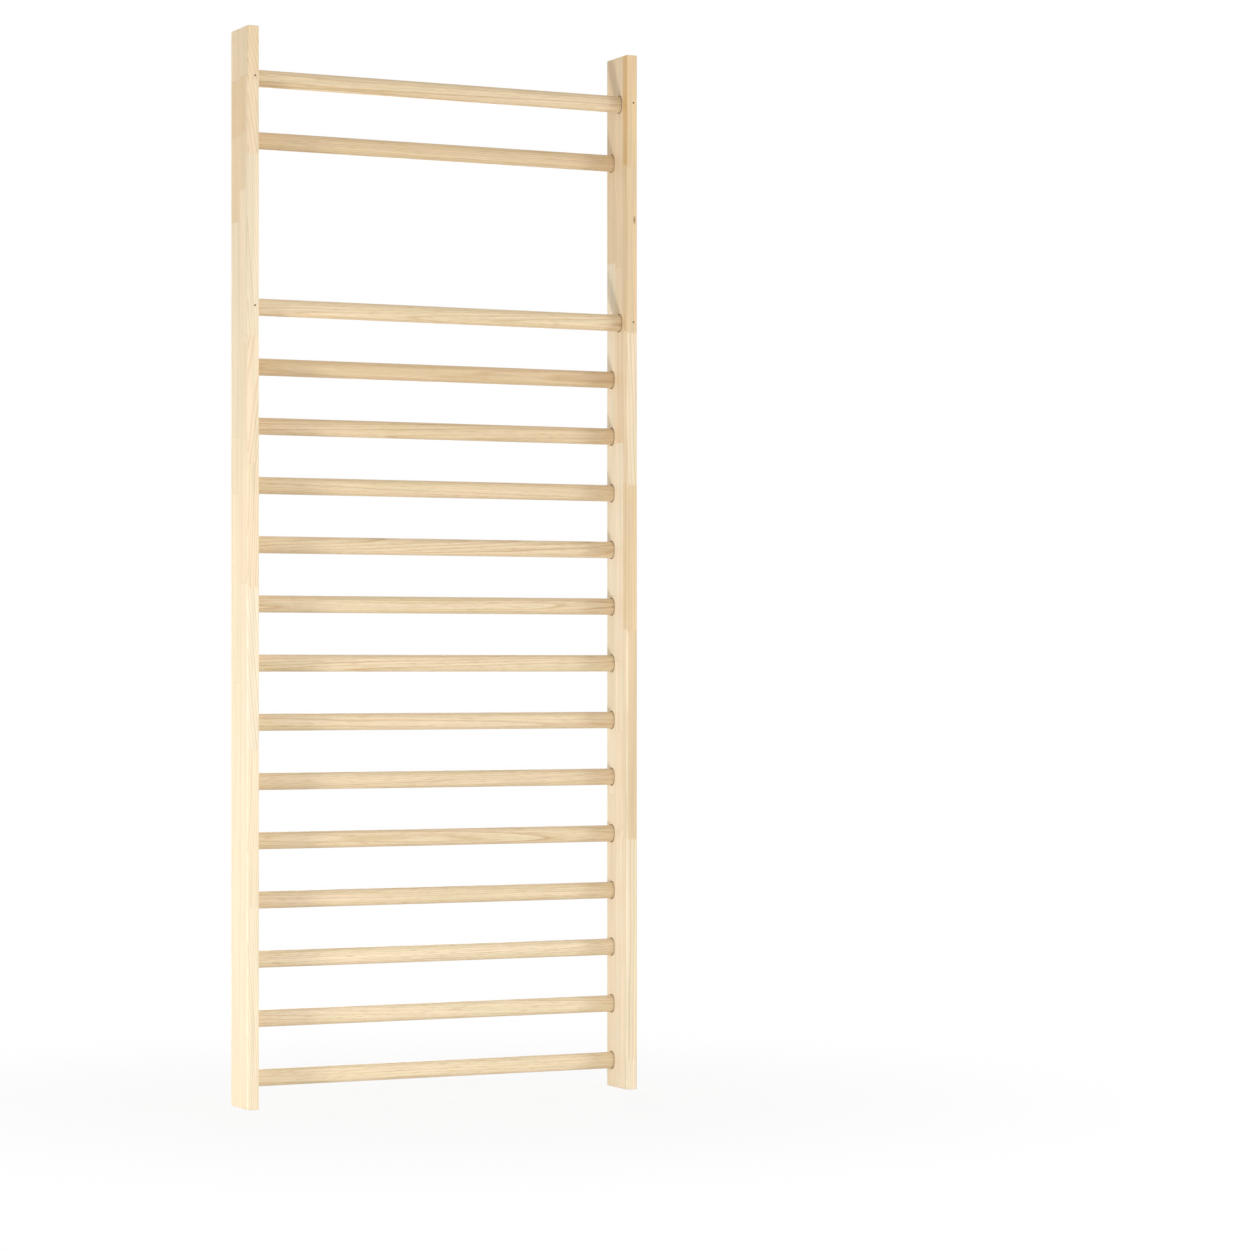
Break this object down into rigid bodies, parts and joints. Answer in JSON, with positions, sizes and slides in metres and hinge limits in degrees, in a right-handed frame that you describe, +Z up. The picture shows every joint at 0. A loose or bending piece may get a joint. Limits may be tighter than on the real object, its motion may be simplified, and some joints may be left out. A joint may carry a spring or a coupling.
{
  "type": "swedish wall bars",
  "caption": "Wooden gymnastics wall bars: two straight uprights carrying oval rungs in blind sockets, with a wide gap under the upper rungs and some rungs set forward for hanging.",
  "frame": {"origin": "on the floor, under the middle of the wall bars' bounding box", "axes": "+Z up along the uprights, +X along the bars to the right as seen from the front, +Y from the front edges to the back edges, towards the wall"},
  "size_m": [1, 0.11, 2.5],
  "materials": {
    "upright_softwood": "satin",
    "bar_hardwood": "satin",
    "pin_steel": "satin"
  },
  "bodies": {
    "root": {"left_upright": "upright_softwood", "right_upright": "upright_softwood", "bar_01": "bar_hardwood", "bar_02": "bar_hardwood", "bar_03": "bar_hardwood", "bar_04": "bar_hardwood", "bar_05": "bar_hardwood", "bar_06": "bar_hardwood", "bar_07": "bar_hardwood", "bar_08": "bar_hardwood", "bar_09": "bar_hardwood", "bar_10": "bar_hardwood", "bar_11": "bar_hardwood", "bar_12": "bar_hardwood", "bar_13": "bar_hardwood", "bar_14": "bar_hardwood", "bar_15": "bar_hardwood", "bar_16": "bar_hardwood", "bar_01_left_pin": "pin_steel", "bar_01_right_pin": "pin_steel", "bar_02_left_pin": "pin_steel", "bar_02_right_pin": "pin_steel", "bar_03_left_pin": "pin_steel", "bar_03_right_pin": "pin_steel", "bar_04_left_pin": "pin_steel", "bar_04_right_pin": "pin_steel", "bar_05_left_pin": "pin_steel", "bar_05_right_pin": "pin_steel", "bar_06_left_pin": "pin_steel", "bar_06_right_pin": "pin_steel", "bar_07_left_pin": "pin_steel", "bar_07_right_pin": "pin_steel", "bar_08_left_pin": "pin_steel", "bar_08_right_pin": "pin_steel", "bar_09_left_pin": "pin_steel", "bar_09_right_pin": "pin_steel", "bar_10_left_pin": "pin_steel", "bar_10_right_pin": "pin_steel", "bar_11_left_pin": "pin_steel", "bar_11_right_pin": "pin_steel", "bar_12_left_pin": "pin_steel", "bar_12_right_pin": "pin_steel", "bar_13_left_pin": "pin_steel", "bar_13_right_pin": "pin_steel", "bar_14_left_pin": "pin_steel", "bar_14_right_pin": "pin_steel", "bar_15_left_pin": "pin_steel", "bar_15_right_pin": "pin_steel", "bar_16_left_pin": "pin_steel", "bar_16_right_pin": "pin_steel"}
  },
  "joints": []
}
